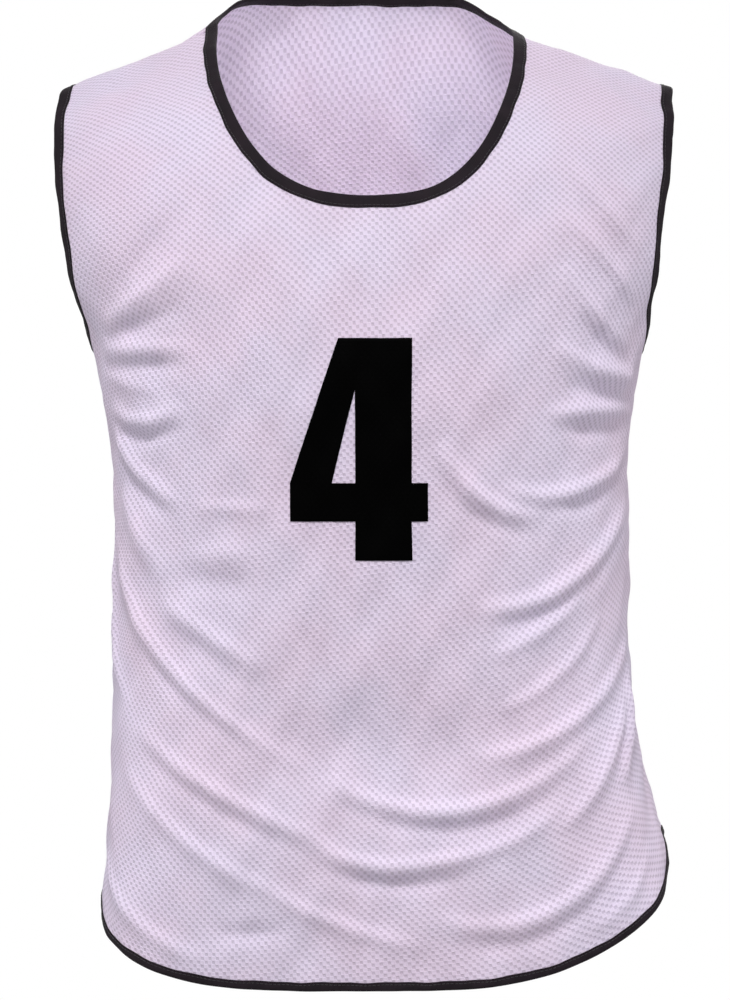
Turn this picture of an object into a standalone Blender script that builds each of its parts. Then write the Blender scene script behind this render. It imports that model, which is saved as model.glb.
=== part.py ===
"""A sleeveless mesh training bib in its worn shape: hollow, with nobody in it.

The cloth is a loft. Its sections run from the front hem up over the shoulder seam and
down to the back hem, and each is half of a rounded ring round the body. The front and
the back are cut from that loft at the hem, the side seams, the armholes, the shoulder
seams and the neck, and a folded strip of binding is slipped over every free edge.

Two numbers place a point of the cloth. across is 0 on the centre line, -1 on the left
side seam and 1 on the right one, in shares of the way round the section. along is 0 at
the front hem, 1 at the shoulder seam and 2 at the back hem. The origin is midway
between the two high shoulder points, +X is the right of the front view, and the front
faces -Y.
"""

import bmesh
import bpy
import numpy as np

# Driving sizes, in metres.
CLOTH_WALL = 0.0012
SEAM_GAP = 0.0003
BINDING_WIDTHS = {"neck": 0.0085, "left_armhole": 0.0080, "right_armhole": 0.0080, "hem": 0.0052}
BINDING_LAYER = 0.0007
BINDING_FOLD = 0.0015

# The share of a rim cell of cloth that a binding may cover.
DEEPEST = 0.97

# The flat pattern that the folds are drawn on: from the centre line to a side seam,
# and from the hem to the shoulder seam.
PATTERN_QUARTER = 0.300
PATTERN_LENGTH = 0.765

# A section every few centimetres up the body. left and right are the half widths of
# the whole ring, which is wider than the cut cloth above the underarm. The heights are
# at the centre line and at the side, and squareness is 2 for an ellipse.
SECTION_COLUMNS = (
    "level", "left", "right", "side_z", "front_y", "front_z", "back_y", "back_z", "squareness",
)
SECTIONS = (
    (0.00, 0.193, 0.223, -0.695, 0.116, -0.695, 0.116, -0.692, 5.0),
    (0.13, 0.188, 0.204, -0.597, 0.119, -0.597, 0.117, -0.594, 4.0),
    (0.26, 0.187, 0.196, -0.498, 0.120, -0.498, 0.112, -0.496, 3.0),
    (0.39, 0.186, 0.197, -0.398, 0.122, -0.398, 0.107, -0.398, 2.7),
    (0.50, 0.189, 0.196, -0.313, 0.126, -0.313, 0.112, -0.313, 2.6),
    (0.56, 0.196, 0.201, -0.268, 0.128, -0.268, 0.118, -0.268, 2.6),
    (0.61, 0.204, 0.208, -0.228, 0.127, -0.228, 0.122, -0.228, 2.6),
    (0.68, 0.227, 0.223, -0.178, 0.121, -0.168, 0.124, -0.172, 2.7),
    (0.76, 0.238, 0.233, -0.128, 0.106, -0.107, 0.120, -0.112, 2.8),
    (0.84, 0.249, 0.246, -0.093, 0.082, -0.052, 0.103, -0.058, 2.8),
    (0.92, 0.264, 0.264, -0.070, 0.046, -0.012, 0.068, -0.014, 2.8),
    (1.00, 0.276, 0.281, -0.058, 0.000, 0.017, 0.000, 0.017, 2.8),
)
SHOULDER_CURVE = 1.66
SECTION_STEPS = 121

# The hem hangs lowest at the middle and climbs late to the side seams.
HEM_RISE_LEFT = 0.070
HEM_RISE_RIGHT = 0.100
HEM_CLIMB_LEFT = 2.05
HEM_CLIMB_RIGHT = 1.80
HEM_FADE = 1.5
UNDERARM = 0.61

# The cloth stands up round the back of the neck, further out on the left than on the right.
NAPE_HEIGHT = 0.056
NAPE_HALF_LEFT = 0.135
NAPE_HALF_RIGHT = 0.113
NAPE_ALONG = 1.07
NAPE_SPREAD = 0.06

# The armhole leaves the side seam square, rounds, and runs straight up the flat pattern.
# The corner is where its lower part turns from going across to going up.
ARMHOLE_EDGE = 0.243
ARMHOLE_ROUND = 0.070
ARMHOLE_CORNER = np.radians(45)

# The neck is half a rounded ring on each panel, squarer on the right than on the left,
# with a corner at each side in its grid.
NECK_HALF_WIDTH = 0.112
NECK_POWER_LEFT = 0.77
NECK_POWER_RIGHT = 0.70
NECK_DEPTH_POWER = 0.8
FRONT_NECK_LEVEL = 0.732
BACK_NECK_LEVEL = 0.925
NECK_CORNER = np.radians(50)

# The largest folds, on the flat pattern: each is a bent line from one point to another,
# in metres across from the centre line and up from the hem, with the half width of the
# fold and its height. A trough has a height below nothing.
FOLD_COLUMNS = (
    "from_across", "from_up", "bend_across", "bend_up", "to_across", "to_up", "half_width", "height",
)
FRONT_FOLDS = (
    (-0.262, 0.480, -0.200, 0.520, -0.140, 0.590, 0.012, 0.005),
    (-0.275, 0.460, -0.200, 0.480, -0.140, 0.520, 0.012, -0.005),
    (-0.275, 0.410, -0.220, 0.405, -0.150, 0.405, 0.014, -0.006),
    (-0.280, 0.390, -0.240, 0.360, -0.150, 0.345, 0.012, 0.004),
    (-0.270, 0.330, -0.210, 0.230, -0.060, 0.170, 0.014, 0.006),
    (-0.265, 0.290, -0.200, 0.190, -0.060, 0.140, 0.014, -0.006),
    (-0.265, 0.220, -0.200, 0.130, -0.020, 0.085, 0.014, 0.005),
    (-0.265, 0.185, -0.190, 0.095, -0.040, 0.060, 0.013, -0.004),
    (0.262, 0.480, 0.200, 0.520, 0.150, 0.600, 0.012, 0.005),
    (0.275, 0.460, 0.200, 0.480, 0.150, 0.530, 0.012, -0.005),
    (0.275, 0.400, 0.220, 0.390, 0.150, 0.410, 0.016, -0.007),
    (0.275, 0.370, 0.190, 0.320, 0.120, 0.350, 0.012, 0.006),
    (0.275, 0.300, 0.200, 0.230, 0.100, 0.270, 0.013, 0.006),
    (0.275, 0.275, 0.200, 0.200, 0.100, 0.235, 0.013, -0.006),
    (0.270, 0.240, 0.180, 0.140, -0.020, 0.150, 0.015, 0.006),
    (0.270, 0.210, 0.180, 0.110, -0.020, 0.125, 0.015, -0.006),
    (0.270, 0.170, 0.200, 0.070, 0.050, 0.065, 0.015, 0.006),
    (0.270, 0.135, 0.210, 0.050, 0.060, 0.040, 0.014, -0.005),
)
BACK_FOLDS = (
    (-0.265, 0.470, -0.180, 0.500, -0.110, 0.570, 0.014, 0.005),
    (-0.275, 0.430, -0.180, 0.440, -0.090, 0.470, 0.014, -0.005),
    (-0.270, 0.350, -0.180, 0.270, -0.040, 0.260, 0.016, 0.006),
    (-0.270, 0.310, -0.180, 0.230, -0.030, 0.225, 0.016, -0.006),
    (-0.265, 0.210, -0.170, 0.120, -0.010, 0.110, 0.016, 0.005),
    (0.265, 0.475, 0.190, 0.500, 0.120, 0.580, 0.014, 0.005),
    (0.275, 0.435, 0.190, 0.440, 0.100, 0.480, 0.014, -0.005),
    (0.270, 0.330, 0.180, 0.250, 0.030, 0.265, 0.016, 0.006),
    (0.270, 0.290, 0.180, 0.215, 0.030, 0.230, 0.016, -0.006),
    (0.265, 0.190, 0.170, 0.100, 0.020, 0.090, 0.016, 0.005),
)
FOLD_STEPS = 24
FOLD_TAPER = 0.35

# How far the strip of cells under a binding goes past it, how finely lines are followed,
# and how many cells lie along each block's lines.
STRIP_MARGIN = 0.0008
LINE_STEPS = 121
LINE_REACH = 0.002
WELD = 1e-6
SEAM_TOP = PATTERN_LENGTH - SEAM_GAP / 2
FRONT_CELLS = {"underarm": 5, "strap": 8, "middle": 12, "trunk": 27, "chest": 8, "shoulder": 10}
BACK_CELLS = {"underarm": 5, "strap": 6, "middle": 12, "trunk": 20, "chest": 13, "shoulder": 5}

SHARP_EDGE = np.radians(50)
WHITE_MESH = (0.80, 0.75, 0.86, 1.0)
BLACK_TAPE = (0.03, 0.03, 0.035, 1.0)


def named_columns(names, rows):
    return dict(zip(names, np.array(rows, float).T))


def smooth_through(knots, values, at):
    """A curve through the values at the knots, without corners, read at any places."""
    slopes = np.gradient(values, knots)
    i = np.clip(np.searchsorted(knots, at) - 1, 0, len(knots) - 2)
    gap = knots[i + 1] - knots[i]
    t = (at - knots[i]) / gap
    start = (1 + 2 * t) * (1 - t) ** 2 * values[i] + t * (1 - t) ** 2 * gap * slopes[i]
    end = t**2 * (3 - 2 * t) * values[i + 1] + t**2 * (t - 1) * gap * slopes[i + 1]
    return start + end


def over_the_shoulder(front, back):
    """One value for each section from the front hem to the back hem."""
    return np.concatenate([front, back[-2::-1]])


TABLE = named_columns(SECTION_COLUMNS, SECTIONS)
KNOTS = over_the_shoulder(TABLE["level"], 2 - TABLE["level"])
LOFT = {
    name: over_the_shoulder(TABLE[name], TABLE[name])
    for name in ("left", "right", "side_z", "squareness")
}
LOFT["depth"] = over_the_shoulder(-TABLE["front_y"], TABLE["back_y"])
LOFT["middle_z"] = over_the_shoulder(TABLE["front_z"], TABLE["back_z"])


def section_arc(share, width, depth, squareness):
    """Where a share of the way from the centre to the side falls on each section."""
    turn = np.linspace(0, np.pi / 2, SECTION_STEPS)
    power = 2 / squareness[:, None]
    x = width[:, None] * np.sin(turn) ** power
    y = depth[:, None] * np.cos(turn) ** power
    steps = np.hypot(np.diff(x, axis=1), np.diff(y, axis=1))
    run = np.concatenate([np.zeros((len(x), 1)), np.cumsum(steps, axis=1)], axis=1)
    reach = share * run[:, -1]
    i = np.clip((run < reach[:, None]).sum(axis=1) - 1, 0, SECTION_STEPS - 2)
    row = np.arange(len(x))
    t = (reach - run[row, i]) / (run[row, i + 1] - run[row, i])
    return x[row, i] + t * (x[row, i + 1] - x[row, i]), y[row, i] + t * (y[row, i + 1] - y[row, i])


def level_of(along):
    return 1 - np.abs(1 - along)


def round_the_side(across, along):
    """Past a side seam, the same place counted from the other panel's centre line."""
    past = np.abs(across) > 1
    return np.where(past, np.sign(across) * 2 - across, across), np.where(past, 2 - along, along)


def form_point(across, along):
    """The smooth form of the cloth, before its folds."""
    across, along = round_the_side(across, along)
    loft = {name: smooth_through(KNOTS, values, along) for name, values in LOFT.items()}
    width = np.where(across < 0, loft["left"], loft["right"])
    share = np.abs(across)
    x, y = section_arc(share, width, np.abs(loft["depth"]), loft["squareness"])
    z = loft["middle_z"] + (loft["side_z"] - loft["middle_z"]) * share**SHOULDER_CURVE
    rise = np.where(across < 0, HEM_RISE_LEFT, HEM_RISE_RIGHT)
    climb = np.where(across < 0, HEM_CLIMB_LEFT, HEM_CLIMB_RIGHT)
    above_hem = np.clip(1 - level_of(along) / UNDERARM, 0, 1) ** HEM_FADE
    z = z + rise * (1 - np.cos(np.pi * share**climb)) / 2 * above_hem
    half_width = np.where(across < 0, NAPE_HALF_LEFT, NAPE_HALF_RIGHT)
    nape = np.exp(-((x / half_width) ** 6)) * np.exp(-(((along - NAPE_ALONG) / NAPE_SPREAD) ** 2))
    return np.stack([np.sign(across) * x, np.sign(along - 1) * y, z + NAPE_HEIGHT * nape], axis=1)


def facing(place, across, along, reach=0.004):
    """The outward direction of a surface, from places a little to each side."""
    sideways = place(across + reach, along) - place(across - reach, along)
    upwards = place(across, along + reach) - place(across, along - reach)
    out = np.cross(sideways, upwards)
    return out / np.linalg.norm(out, axis=1)[:, None]


def fold_height(fold, across, up):
    """How far one fold lifts each place of the flat pattern."""
    t = np.linspace(0, 1, FOLD_STEPS)[:, None]
    start = np.array([fold["from_across"], fold["from_up"]])
    bend = np.array([fold["bend_across"], fold["bend_up"]])
    end = np.array([fold["to_across"], fold["to_up"]])
    line = (1 - t) ** 2 * start + 2 * t * (1 - t) * bend + t**2 * end
    places = np.stack([across, up], axis=1)[:, None, :]
    leg = line[1:] - line[:-1]
    along_leg = np.clip(((places - line[:-1]) * leg).sum(axis=2) / (leg**2).sum(axis=1), 0, 1)
    away = np.linalg.norm(places - line[:-1] - along_leg[:, :, None] * leg, axis=2)
    nearest = away.argmin(axis=1)
    row = np.arange(len(nearest))
    t_near = (nearest + along_leg[row, nearest]) / (FOLD_STEPS - 1)
    taper = np.sin(np.pi * np.clip(t_near, 0, 1)) ** FOLD_TAPER
    return fold["height"] * taper * np.exp(-((away[row, nearest] / fold["half_width"]) ** 2))


def relief(across, along):
    """The folds of both panels, each also where it runs on round the side seam."""
    across, along = round_the_side(across, along)
    other = np.sign(across) * 2 - across
    total = np.zeros(len(across))
    up = level_of(along) * PATTERN_LENGTH
    for folds, on_this_panel in ((FRONT_FOLDS, along < 1), (BACK_FOLDS, along >= 1)):
        from_centre = np.where(on_this_panel, across, other) * PATTERN_QUARTER
        for row in folds:
            total += fold_height(dict(zip(FOLD_COLUMNS, row)), from_centre, up)
    return total


def cloth_point(across, along):
    base = form_point(across, along)
    return base + facing(form_point, across, along) * relief(across, along)[:, None]


def armhole_line():
    """The armhole on the flat pattern, from the side seam round and up to the shoulder seam."""
    turn = np.linspace(0, np.pi / 2, LINE_STEPS)
    side, bottom = PATTERN_QUARTER - SEAM_GAP / 2, UNDERARM * PATTERN_LENGTH
    across = side - (side - ARMHOLE_EDGE) * np.sin(turn)
    up = bottom + ARMHOLE_ROUND * (1 - np.cos(turn))
    straight = np.linspace(up[-1], SEAM_TOP, LINE_STEPS)[1:]
    across = np.concatenate([across, np.full(len(straight), ARMHOLE_EDGE)])
    return np.stack([across, np.concatenate([up, straight])], axis=1)


def across_at(x, along):
    """How far across the flat pattern a place is that is x from the centre line."""
    share = np.linspace(0, 1, LINE_STEPS) * np.sign(x)
    found = form_point(share, np.full(LINE_STEPS, along))
    return np.interp(abs(x), np.abs(found[:, 0]), np.abs(share)) * np.sign(x) * PATTERN_QUARTER


def neck_line(low_level, along_of):
    """The neck on the flat pattern, from the left shoulder seam down and up to the right one."""
    places = []
    for turn in np.linspace(-np.pi / 2, np.pi / 2, LINE_STEPS):
        level = 1 - (1 - low_level) * np.cos(turn) ** NECK_DEPTH_POWER
        power = NECK_POWER_LEFT if turn < 0 else NECK_POWER_RIGHT
        x = NECK_HALF_WIDTH * np.sign(turn) * abs(np.sin(turn)) ** power
        places.append((across_at(x, along_of(level)), min(level * PATTERN_LENGTH, SEAM_TOP)))
    return np.array(places)


def runs(line):
    return np.concatenate([[0], np.cumsum(np.linalg.norm(np.diff(line, axis=0), axis=1))])


def spaced(line, start, end, cells):
    """Evenly spaced places along a line, between two of its runs."""
    at = np.linspace(start, end, cells + 1)
    run = runs(line)
    return np.stack([np.interp(at, run, line[:, 0]), np.interp(at, run, line[:, 1])], axis=1)


def on_cloth(places, along_of):
    return cloth_point(places[:, 0] / PATTERN_QUARTER, along_of(places[:, 1] / PATTERN_LENGTH))


def strip_lines(line, start, end, cells, width, along_of):
    """Two rows of places: on a line, and a strip's width to the right of its way."""
    rim = spaced(line, start, end, cells)
    last = runs(line)[-1]
    ahead = spaced(line, min(start + LINE_REACH, last), min(end + LINE_REACH, last), cells)
    behind = spaced(line, max(start - LINE_REACH, 0), max(end - LINE_REACH, 0), cells)
    way = ahead - behind
    way /= np.linalg.norm(way, axis=1)[:, None]
    square = np.stack([way[:, 1], -way[:, 0]], axis=1) * width
    measured = np.linalg.norm(on_cloth(rim, along_of) - on_cloth(rim + square, along_of), axis=1)
    return rim, rim + square * (width / measured)[:, None]


def filled(bottom, top, left, right):
    """A grid of places between four lines that share their end places."""
    t = np.linspace(0, 1, len(bottom))[None, :, None]
    s = np.linspace(0, 1, len(left))[:, None, None]
    ruled = (1 - s) * bottom[None] + s * top[None] + (1 - t) * left[:, None] + t * right[:, None]
    low = (1 - t) * bottom[0] + t * bottom[-1]
    high = (1 - t) * top[0] + t * top[-1]
    return ruled - (1 - s) * low - s * high


def between(start, end, cells):
    return start + (end - start) * np.linspace(0, 1, cells + 1)[:, None]


def mirrored(line):
    return line * np.array([-1, 1])


class Pattern:
    """The cells of one panel on the flat pattern, welded where their points meet."""

    def __init__(self):
        self.places = []
        self.index = {}
        self.faces = []

    def point(self, place):
        key = tuple(int(round(value / WELD)) for value in place)
        if key not in self.index:
            self.index[key] = len(self.places)
            self.places.append(tuple(place))
        return self.index[key]

    def add(self, grid):
        index = [[self.point(place) for place in row] for row in grid]
        for low, high in zip(index, index[1:]):
            for c in range(len(low) - 1):
                self.faces.append((low[c], low[c + 1], high[c + 1], high[c]))

    def pairs(self, rim, inner):
        return [(self.point(a), self.point(b)) for a, b in zip(rim, inner)]


def panel_pattern(cells, low_level, along_of):
    """One panel's cells, and its free edges as pairs of a rim point and an inner one.

    A strip of cells as wide as the binding follows each free edge. Inside the strips,
    one block fills the trunk up to the armholes, one the chest up to the neck, and one
    each side of the neck goes up to the shoulder seam.
    """
    under, strap, middle = cells["underarm"], cells["strap"], cells["middle"]
    side = PATTERN_QUARTER - SEAM_GAP / 2
    arm = armhole_line()
    arm_corner = np.interp(ARMHOLE_CORNER, np.linspace(0, np.pi / 2, LINE_STEPS), runs(arm)[:LINE_STEPS])
    neck = neck_line(low_level, along_of)
    neck_run = runs(neck)
    turns = np.linspace(-np.pi / 2, np.pi / 2, LINE_STEPS)
    neck_low, neck_high = np.interp([-NECK_CORNER, NECK_CORNER], turns, neck_run)
    corner_up = np.interp(neck_low, neck_run, neck[:, 1]) - STRIP_MARGIN
    arm_shoulder = np.interp(corner_up, arm[:, 1], runs(arm))

    # A strip lies to the right of its line's way, so the armhole is drawn on the left
    # side of the body, where the cloth is to the right of the way up, and mirrored.
    left_arm = mirrored(arm)
    strip = {edge: width + STRIP_MARGIN for edge, width in BINDING_WIDTHS.items()}
    arm_ends = (0, arm_corner, arm_shoulder, runs(arm)[-1])
    arm_cells = (under, cells["chest"], cells["shoulder"])
    neck_ends = (0, neck_low, neck_high, neck_run[-1])
    neck_cells = (cells["shoulder"], middle, cells["shoulder"])
    arm_parts = [
        strip_lines(left_arm, start, end, count, strip["left_armhole"], along_of)
        for start, end, count in zip(arm_ends, arm_ends[1:], arm_cells)
    ]
    neck_parts = [
        strip_lines(neck, start, end, count, strip["neck"], along_of)
        for start, end, count in zip(neck_ends, neck_ends[1:], neck_cells)
    ]
    # The strips' ends lie exactly in the seams.
    arm_parts[0][1][0, 0] = -side
    neck_parts[0][1][0, 1] = neck_parts[2][1][-1, 1] = SEAM_TOP

    columns = 2 * under + 2 * strap + middle
    hem = between(np.array([-side, 0]), np.array([side, 0]), columns)
    hem_inner = strip_lines(hem[::-1], 0, 2 * side, columns, strip["hem"], along_of)[1][::-1]
    low, up, top = (inner for rim, inner in arm_parts)
    down, across, rise = (inner for rim, inner in neck_parts)
    armpits = between(low[-1], mirrored(low[-1]), columns - 2 * under)
    trunk_top = np.concatenate([low[:-1], armpits, mirrored(low[:-1])[::-1]])
    left_side = between(hem_inner[0], low[0], cells["trunk"])
    right_side = between(hem_inner[-1], mirrored(low[0]), cells["trunk"])
    left_strap = between(up[-1], across[0], strap)
    right_strap = between(across[-1], mirrored(up[-1]), strap)
    chest_top = np.concatenate([left_strap[:-1], across, right_strap[1:]])
    left_seam = between(top[-1], down[0], strap)
    right_seam = between(rise[-1], mirrored(top[-1]), strap)

    pattern = Pattern()
    pattern.add([hem_inner, hem])
    pattern.add(filled(hem_inner, trunk_top, left_side, right_side))
    pattern.add(filled(armpits, chest_top, up, mirrored(up)))
    pattern.add(filled(left_strap, left_seam, top, down[::-1]))
    pattern.add(filled(right_strap, right_seam, rise, mirrored(top)))
    for rim, inner in arm_parts:
        pattern.add([inner, rim])
        pattern.add([mirrored(inner), mirrored(rim)])
    for rim, inner in neck_parts:
        pattern.add([inner, rim])

    def joined(parts):
        rims = np.concatenate([parts[0][0], parts[1][0][1:], parts[2][0][1:]])
        inners = np.concatenate([parts[0][1], parts[1][1][1:], parts[2][1][1:]])
        return rims, inners

    arm_rim, arm_inner = joined(arm_parts)
    edges = {
        "hem": pattern.pairs(hem, hem_inner),
        "left_armhole": pattern.pairs(arm_rim, arm_inner),
        "right_armhole": pattern.pairs(mirrored(arm_rim), mirrored(arm_inner)),
        "neck": pattern.pairs(*joined(neck_parts)),
    }
    places = np.array(pattern.places)
    return places[:, 0] / PATTERN_QUARTER, along_of(places[:, 1] / PATTERN_LENGTH), pattern.faces, edges


def make_object(name, points, faces, material):
    mesh = bpy.data.meshes.new(name)
    mesh.from_pydata([tuple(p) for p in points], [], faces)
    work = bmesh.new()
    work.from_mesh(mesh)
    bmesh.ops.recalc_face_normals(work, faces=work.faces)
    work.to_mesh(mesh)
    work.free()
    mesh.materials.append(material)
    mesh.shade_smooth()
    mesh.set_sharp_from_angle(angle=SHARP_EDGE)
    made = bpy.data.objects.new(name, mesh)
    bpy.context.scene.collection.objects.link(made)
    return made


def wall(name, points, normals, faces, material):
    """A panel as a wall of cloth: an outer and an inner skin, joined round the edge."""
    count = len(points)
    faces = [part for a, b, c, d in faces for part in ((a, b, c), (a, c, d))]
    skins = np.concatenate([points + normals * CLOTH_WALL / 2, points - normals * CLOTH_WALL / 2])
    uses = {}
    for face in faces:
        for a, b in zip(face, face[1:] + face[:1]):
            uses.setdefault(frozenset((a, b)), []).append((a, b))
    rim = [(b, a, a + count, b + count) for used in uses.values() if len(used) == 1 for a, b in used]
    inner = [tuple(i + count for i in reversed(face)) for face in faces]
    return make_object(name, skins, faces + inner + rim, material)


def binding_profile(width):
    """The folded strip's outline: distance out past the cloth's edge, and off its middle."""
    near = CLOTH_WALL / 2 + SEAM_GAP
    far = near + BINDING_LAYER
    return (
        (-width, far), (SEAM_GAP, far), (BINDING_FOLD, 0.0), (SEAM_GAP, -far),
        (-width, -far), (-width, -near), (SEAM_GAP, -near), (SEAM_GAP, near),
        (-width, near),
    )


def binding(name, front, back, width, material):
    """A strip folded over a ring of edge points, each with the cloth's next point inwards."""
    # The back's own end points lie in the seam, a gap away from the front's.
    stations = front + back[-2:0:-1]
    rim, rim_facing, inner, inner_facing = (np.array(part) for part in zip(*stations))
    spacing = np.linalg.norm(inner - rim, axis=1)
    inwards = (inner - rim) / spacing[:, None]
    tangent = np.roll(rim, -1, axis=0) - np.roll(rim, 1, axis=0)
    tangent /= np.linalg.norm(tangent, axis=1)[:, None]
    square = np.sqrt(1 - (inwards * tangent).sum(axis=1) ** 2)
    profile = binding_profile(width)
    points = []
    for out, off in profile:
        run = np.minimum(-out / square, DEEPEST * spacing)
        share = np.clip(run / spacing, 0, 1)[:, None]
        up = rim_facing + (inner_facing - rim_facing) * share
        up /= np.linalg.norm(up, axis=1)[:, None]
        points.append(rim + inwards * run[:, None] + up * off)
    points = np.stack(points, axis=1)
    rings, corners = points.shape[:2]
    faces = []
    for ring in range(rings):
        # Each cell is split the same way as the cell of cloth it covers, and the back's
        # cells of cloth run against the ring.
        a, b = ring, (ring + 1) % rings
        if ring >= len(front) - 1:
            a, b = b, a
        for corner in range(corners):
            pair = (corner, (corner + 1) % corners)
            deep, shallow = sorted(pair, key=lambda c: profile[c][0])
            cell = [a * corners + deep, b * corners + deep, b * corners + shallow, a * corners + shallow]
            faces += [(cell[0], cell[1], cell[2]), (cell[0], cell[2], cell[3])]
    return make_object(name, points.reshape(-1, 3), faces, material)


def finish(name, colour, roughness):
    material = bpy.data.materials.new(name)
    material.use_nodes = True
    shader = material.node_tree.nodes["Principled BSDF"]
    shader.inputs["Base Color"].default_value = colour
    shader.inputs["Roughness"].default_value = roughness
    shader.inputs["Metallic"].default_value = 0.0
    return material


def build_panel(name, cells, low_level, along_of, material):
    across, along, faces, edges = panel_pattern(cells, low_level, along_of)
    points = cloth_point(across, along)
    normals = facing(cloth_point, across, along)
    wall(name, points, normals, faces, material)
    return {
        edge: [(points[rim], normals[rim], points[inner], normals[inner]) for rim, inner in pairs]
        for edge, pairs in edges.items()
    }


def build_bib():
    mesh_cloth = finish("mesh_cloth", WHITE_MESH, 0.8)
    tape = finish("binding_tape", BLACK_TAPE, 0.65)
    front = build_panel("front_panel", FRONT_CELLS, FRONT_NECK_LEVEL, lambda level: level, mesh_cloth)
    back = build_panel("back_panel", BACK_CELLS, BACK_NECK_LEVEL, lambda level: 2 - level, mesh_cloth)
    for edge, width in BINDING_WIDTHS.items():
        binding(edge + "_binding", front[edge], back[edge], width, tape)


for old in list(bpy.data.objects):
    bpy.data.objects.remove(old)
build_bib()
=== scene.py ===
"""The looks of the mesh training bib: cloth with its folds, tape, sewing, number and studio.

The cloth is the same loft as the solids', in finer cells and with every fold. Two numbers
place a point of it. across is 0 on the centre line, -1 on the left side seam and 1 on the
right one, in shares of the way round the section. along is 0 at the front hem, 1 at the
shoulder seam and 2 at the back hem. On the flat pattern, a place is in metres across from
the centre line and up from the hem. The front faces -Y.
"""

import bmesh
import bpy
import numpy as np
from mathutils import Matrix, Vector


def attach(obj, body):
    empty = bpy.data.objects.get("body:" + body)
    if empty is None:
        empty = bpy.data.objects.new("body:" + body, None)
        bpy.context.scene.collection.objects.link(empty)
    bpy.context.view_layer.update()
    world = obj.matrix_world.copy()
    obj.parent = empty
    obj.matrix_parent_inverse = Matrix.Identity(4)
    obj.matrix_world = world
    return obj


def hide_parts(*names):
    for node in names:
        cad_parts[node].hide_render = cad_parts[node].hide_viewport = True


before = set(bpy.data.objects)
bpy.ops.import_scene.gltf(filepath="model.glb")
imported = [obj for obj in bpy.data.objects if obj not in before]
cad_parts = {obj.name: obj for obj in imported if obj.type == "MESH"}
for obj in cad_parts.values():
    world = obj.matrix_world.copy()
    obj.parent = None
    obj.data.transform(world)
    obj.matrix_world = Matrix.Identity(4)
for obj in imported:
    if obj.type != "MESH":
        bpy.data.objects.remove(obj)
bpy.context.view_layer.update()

# Driving sizes, in metres. These are the solids' own up to the folds, apart from the
# cloth's thickness and the gaps at its seams, which are nearer to the real ones.
PATTERN_QUARTER = 0.300
PATTERN_LENGTH = 0.765
CLOTH_WALL = 0.0010
SEAM_GAP = 0.0001
BINDING_WIDTHS = {
    "neck": 0.0085, "left_armhole": 0.0080, "right_armhole": 0.0080, "hem": 0.0052,
}

SECTION_COLUMNS = (
    "level", "left", "right", "side_z", "front_y", "front_z", "back_y", "back_z", "squareness",
)
SECTIONS = (
    (0.00, 0.193, 0.223, -0.695, 0.116, -0.695, 0.116, -0.692, 5.0),
    (0.13, 0.188, 0.204, -0.597, 0.119, -0.597, 0.117, -0.594, 4.0),
    (0.26, 0.187, 0.196, -0.498, 0.120, -0.498, 0.112, -0.496, 3.0),
    (0.39, 0.186, 0.197, -0.398, 0.122, -0.398, 0.107, -0.398, 2.7),
    (0.50, 0.189, 0.196, -0.313, 0.126, -0.313, 0.112, -0.313, 2.6),
    (0.56, 0.196, 0.201, -0.268, 0.128, -0.268, 0.118, -0.268, 2.6),
    (0.61, 0.204, 0.208, -0.228, 0.127, -0.228, 0.122, -0.228, 2.6),
    (0.68, 0.227, 0.223, -0.178, 0.121, -0.168, 0.124, -0.172, 2.7),
    (0.76, 0.238, 0.233, -0.128, 0.106, -0.107, 0.120, -0.112, 2.8),
    (0.84, 0.249, 0.246, -0.093, 0.082, -0.052, 0.103, -0.058, 2.8),
    (0.92, 0.264, 0.264, -0.070, 0.046, -0.012, 0.068, -0.014, 2.8),
    (1.00, 0.276, 0.281, -0.058, 0.000, 0.017, 0.000, 0.017, 2.8),
)
SHOULDER_CURVE = 1.66
SECTION_STEPS = 121
HEM_RISE_LEFT = 0.070
HEM_RISE_RIGHT = 0.100
HEM_CLIMB_LEFT = 2.05
HEM_CLIMB_RIGHT = 1.80
HEM_FADE = 1.5
UNDERARM = 0.61
NAPE_HEIGHT = 0.056
NAPE_HALF_LEFT = 0.135
NAPE_HALF_RIGHT = 0.113
NAPE_ALONG = 1.07
NAPE_SPREAD = 0.06
NAPE_SQUARENESS = 6
ARMHOLE_EDGE = 0.243
ARMHOLE_ROUND = 0.070
ARMHOLE_CORNER = np.radians(45)
NECK_HALF_WIDTH = 0.112
NECK_POWER_LEFT = 0.77
NECK_POWER_RIGHT = 0.70
NECK_DEPTH_POWER = 0.8
FRONT_NECK_LEVEL = 0.732
BACK_NECK_LEVEL = 0.925
NECK_CORNER = np.radians(50)
STRIP_MARGIN = 0.0008
LINE_STEPS = 121
LINE_REACH = 0.002
FACING_REACH = 0.003
WELD = 1e-6
SEAM_TOP = PATTERN_LENGTH - SEAM_GAP / 2

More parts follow.
